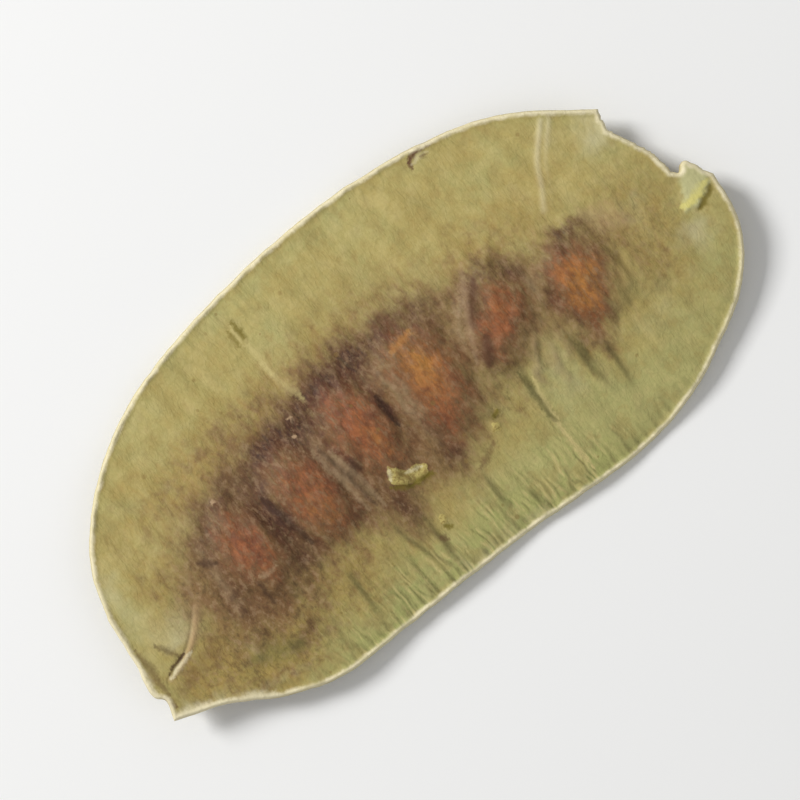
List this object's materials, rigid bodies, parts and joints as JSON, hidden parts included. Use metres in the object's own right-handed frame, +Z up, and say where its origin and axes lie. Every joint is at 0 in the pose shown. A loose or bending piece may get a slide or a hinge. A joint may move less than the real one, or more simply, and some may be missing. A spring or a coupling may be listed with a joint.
{
  "type": "senna pod",
  "caption": "Dried flat senna pod, kidney-shaped and papery, with a raised suture round its edge and low seed bumps along the middle.",
  "frame": {"origin": "on the surface it rests on, under the middle of the pod's box", "axes": "+X along the pod, away from its stalk end; +Y towards its fuller long edge; +Z up from the surface"},
  "size_m": [0.0416, 0.0222, 0.0023],
  "materials": {
    "husk": "matt to faintly satin dry husk, green-tan with brown seed stains"
  },
  "bodies": {
    "root": {"pod": "husk"}
  },
  "joints": []
}
